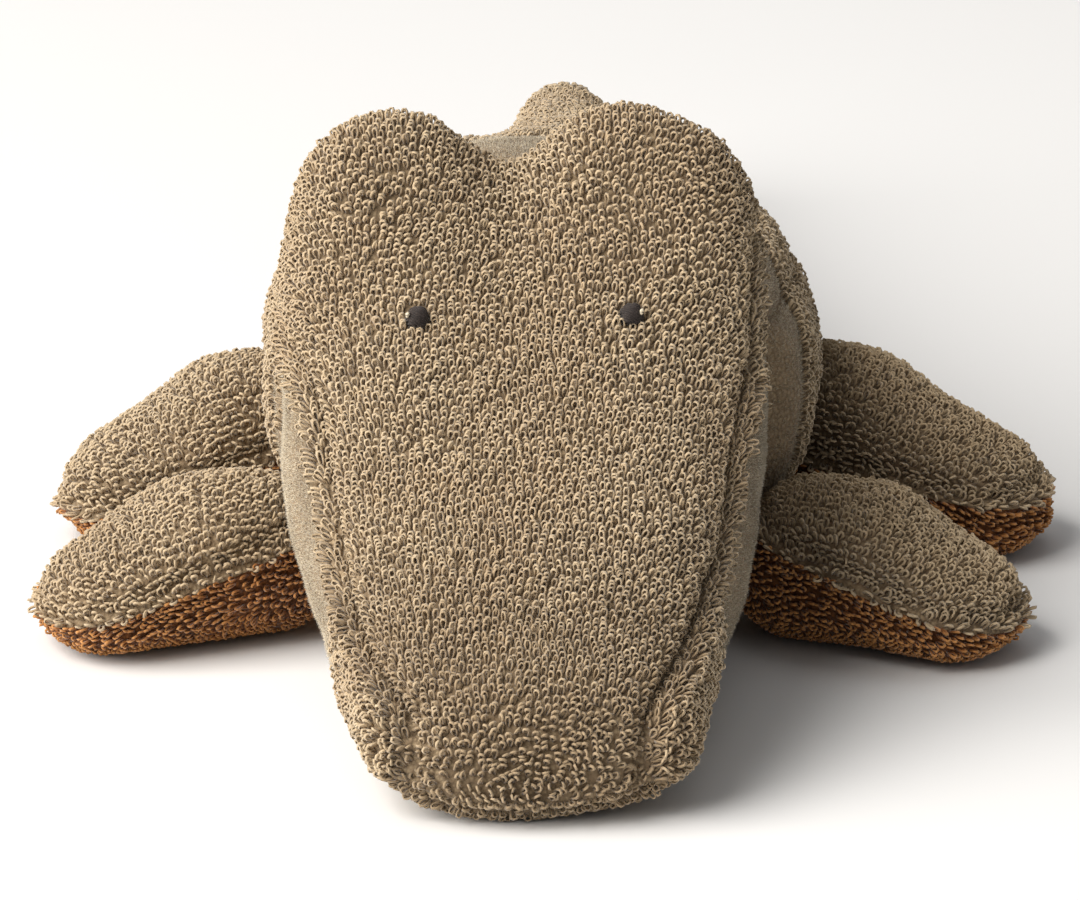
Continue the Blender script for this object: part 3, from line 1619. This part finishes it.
@dataclass
class Neck:
    """The soft neck between head and torso: a short tube of cloth, sewn in above and below."""

    layout: Layout
    reach: float = 19.0
    width: float = 70.0
    height: float = 68.0
    under_seam: float = 13.0
    middle_shift: float = -9.0
    behind_joint: float = 4.7
    step: float = 2.1
    columns: int = 104

    @property
    def middle(self) -> float:
        """The y of the tube's middle, a little behind the joint."""
        return self.layout.neck + self.behind_joint

    def form(self) -> StuffedForm:
        """The neck's form, whose two ends lie inside the head and the torso.

        Returns:
            The form.
        """
        y = self.middle
        rows = np.array([[0.0, 0.97, 0.975], [0.5, 1.0, 1.0], [1.0, 0.97, 0.975]])
        return StuffedForm(
            start_y=y - self.reach, end_y=y + self.reach, start_nose=0.0, end_nose=0.0,
            width=self.width, height=self.height, rows=rows, rows_from=y - self.reach, rows_to=y + self.reach,
            start_power=2.0, end_power=2.0, lower_power=2.0,
        )

    def label(self, p: Array) -> Array:
        """The panel's number at places on the neck, before it is raised to its height."""
        front = p[..., 1] < self.middle + self.middle_shift
        return np.where(front, 0, 1) + np.where(p[..., 2] > self.under_seam, 0, 2)

    def build(self, maker: PileMaker) -> None:
        """Builds and dresses the neck.

        Args:
            maker: What makes the pieces.
        """
        lay = self.layout
        cover = Cover(self.form(), self.step, self.columns)
        cover.snap(cover.rest[..., 1] - self.middle - self.middle_shift)
        cover.sew(cover.rest[..., 2] - self.under_seam, Seam(reach=2.5, depth=0.8))
        cover.swell(inset=0.6, lump=0.4, seed=51, floor=-100.0)
        cover.place(NO_TURN, np.array([lay.neck_x, 0.0, lay.neck_height - self.height / 2]))
        front, split, rear = (
            (lay.neck_x * MM, (self.middle + shift) * MM, lay.neck_height * MM)
            for shift in (-self.reach, self.middle_shift, self.reach * 0.6)
        )
        bends = (("front", Bend("head", "neck", front, split)), ("rear", Bend("neck", "torso", split, rear)))
        panels = []
        for face, slot in (("upper", Slot.OLIVE), ("under", Slot.RUST)):
            for end, bend in bends:
                name = f"neck_{end}_{face}"
                panels.append(Panel(name, len(panels), slot, f"neck_cover_{face}", bend, height=1.6))
        maker.dress(cover, panels, self.label, seed=501, smooth=lambda p: p[..., 2] > 0)


@dataclass
class Stuffing:
    """The loose fibre filling inside each cover, one lumpy wad per body."""

    layout: Layout
    room: float = 5.0
    rings: int = 22
    columns: int = 28
    bluntness: float = 0.45
    lump: float = 14.0
    tail_widths: tuple[float, ...] = (30.0, 23.0, 15.0, 8.0)
    tail_heights: tuple[float, ...] = (56.0, 42.0, 32.0, 18.0)
    tail_gaps: tuple[float, ...] = (6.0, 6.0, 8.0)

    def wad(
        self, maker: PileMaker, body: str, low: Place, high: Place, seed: int,
        turn: Array = NO_TURN, move: Array = ORIGIN,
    ) -> None:
        """One wad of filling.

        Args:
            maker: What makes the pieces.
            body: The body that it fills and rides on.
            low: Half width and height at its -Y end, and its y there.
            high: The same at its +Y end.
            seed: Which lumps.
            turn: The turn that its cover was given.
            move: The shift after it.
        """
        (w0, h0, y0), (w1, h1, y1) = low, high
        rings, columns = self.rings, self.columns
        angle = np.linspace(0, 2 * math.pi, columns, endpoint=False) - math.pi / 2
        t = (1 - np.cos(np.linspace(0, math.pi, rings))) / 2
        girth = np.sin(np.linspace(0, math.pi, rings)) ** self.bluntness
        points = np.zeros((rings, columns, 3))
        half = (w0 + (w1 - w0) * t)[:, None] * girth[:, None]
        tall = (h0 + (h1 - h0) * t)[:, None]
        points[..., 0] = half * np.cos(angle)
        points[..., 1] = (y0 + (y1 - y0) * t)[:, None]
        points[..., 2] = self.room + tall / 2 + tall / 2 * girth[:, None] * np.sin(angle)
        centre = points.mean(1, keepdims=True)
        points = centre + (points - centre) * (0.94 + 0.05 * lumps(points, self.lump, seed)[..., None])
        ids = np.arange(rings * columns).reshape(rings, columns)
        ids[0], ids[-1] = ids[0, 0], ids[-1, 0]
        used, tris = np.unique(net_triangles(ids), return_inverse=True)
        points, tris = points.reshape(-1, 3)[used] @ turn.T + move, tris.reshape(-1, 3)
        if np.linalg.det(turn) < 0:
            tris = tris[:, ::-1]
        obj = maker.mesh(f"{body}_filling", points, [tris], maker.finishes.filling)
        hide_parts(f"{body}_stuffing")
        maker.carry(obj, body, Slot.FILLING)

    def build(self, maker: PileMaker) -> None:
        """Fills every body.

        Args:
            maker: What makes the pieces.
        """
        lay = self.layout
        self.wad(maker, "head", (25.0, 16.0, -203.0), (35.0, 76.0, lay.neck - 10), 71)
        self.wad(maker, "neck", (20.0, 46.0, lay.neck - 3), (20.0, 46.0, lay.neck + 13), 72)
        self.wad(maker, "torso", (42.0, 72.0, lay.neck + 20), (32.0, 58.0, lay.tail_root - 6), 73)
        wide, tall = self.tail_widths, self.tail_heights
        for k, name in enumerate(("root", "middle", "end")):
            y = lay.tail_joint(k)
            start = (wide[k] * 0.92, tall[k] * 0.9, y + self.tail_gaps[0])
            end = (wide[k + 1], tall[k + 1], y + lay.tail_section - self.tail_gaps[k])
            self.wad(maker, f"tail_{name}", start, end, 74 + k)

    def fill_leg(self, maker: PileMaker, leg: Leg, seed: int) -> None:
        """Fills one leg."""
        low, high = (13.0, 20.0, 8.0), (11.0, 9.0, leg.length - 5)
        self.wad(maker, leg.name, low, high, seed, leg.turn, leg.move)


@dataclass
class Studio:
    """Pale floor, soft light and the camera at the photograph's viewing angle."""

    eye: Place = (0.0355, -1.5213, 0.4991)
    target: Place = (0.0014, -0.11, 0.0417)
    lit: Place = (0.0, -0.08, 0.04)
    lens: float = 253.8
    world_light: float = 0.22

    def hang(self, data: bpy.types.ID, place: Place, target: Place) -> Piece:
        """Hangs a camera or a lamp so that it faces a place.

        Args:
            data: The camera's or the lamp's settings.
            place: Where it hangs.
            target: What it faces.

        Returns:
            The object.
        """
        obj = bpy.data.objects.new(data.name, data)
        obj.location = place
        obj.rotation_euler = (Vector(target) - Vector(place)).to_track_quat("-Z", "Y").to_euler()
        bpy.context.scene.collection.objects.link(obj)
        return obj

    def camera(self) -> None:
        """Makes the camera."""
        data = bpy.data.cameras.new("studio camera")
        data.lens, data.sensor_width = self.lens, 36.0
        data.clip_start, data.clip_end = 0.05, 50.0
        bpy.context.scene.camera = self.hang(data, self.eye, self.target)

    def lamp(self, name: str, place: Place, size: float, power: float, colour: Colour = WHITE) -> None:
        """A square soft lamp that faces the crocodile.

        Args:
            name: Its name.
            place: Where it hangs.
            size: Its side.
            power: Watts.
            colour: Its light.
        """
        data = bpy.data.lights.new(name, "AREA")
        data.size, data.energy, data.color = size, power, colour
        self.hang(data, place, self.lit)

    def build(self) -> None:
        """Makes the floor and the lights."""
        world = bpy.data.worlds.new("studio")
        world.use_nodes = True
        world.node_tree.nodes["Background"].inputs["Color"].default_value = (1.0, 1.0, 1.0, 1.0)
        world.node_tree.nodes["Background"].inputs["Strength"].default_value = self.world_light
        bpy.context.scene.world = world
        bpy.context.scene.view_settings.view_transform = "Standard"
        self.lamp("key", place=(-1.6, -0.85, 1.4), size=2.4, power=118.0, colour=(1.0, 0.965, 0.92))
        self.lamp("top", place=(-0.1, 0.5, 2.0), size=1.6, power=4.0)
        bpy.ops.mesh.primitive_plane_add(size=12.0, location=(0, 0, 0))
        floor = bpy.context.object
        floor.name = "floor"
        sheet = NodeSheet("pale floor")
        tone = sheet.ramp(sheet.noise(1.5), [(0.0, (0.82, 0.82, 0.82)), (1.0, (0.84, 0.84, 0.84))])
        floor.data.materials.append(sheet.cloth_shader(tone, 0.8, 0.0, None))


def main() -> None:
    """Builds the studio, the crocodile's covers, eyes and filling."""
    logging.basicConfig(level=logging.INFO, format="%(name)s: %(message)s")
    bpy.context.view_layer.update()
    studio = Studio()
    studio.camera()
    studio.build()
    layout = Layout()
    maker = PileMaker(Finishes())
    head = Head(layout)
    head.build(maker)
    Eyes(head).build(maker)
    Neck(layout).build(maker)
    TorsoAndTail(layout).build(maker)
    stuffing = Stuffing(layout)
    stuffing.build(maker)
    seed = 701
    for side, sign in (("left", 1), ("right", -1)):
        toe = 9.5 + 2.5 * sign
        front = Leg(
            f"front_leg_{side}", sign, layout, y=-97.0, sweep_degrees=24.0,
            length=39.5 - 0.7 * sign, width=38.0, height=31.0,
        )
        rear = Leg(
            f"rear_leg_{side}", sign, layout, y=-32.0, sweep_degrees=20.0,
            length=43.0 + 3.0 * sign, width=39.0, height=36.5 + 1.5 * sign, toe_seam=toe,
        )
        for leg in (front, rear):
            leg.build(maker, seed)
            stuffing.fill_leg(maker, leg, seed + 7)
            seed += 40


if __name__ == "__main__":
    main()
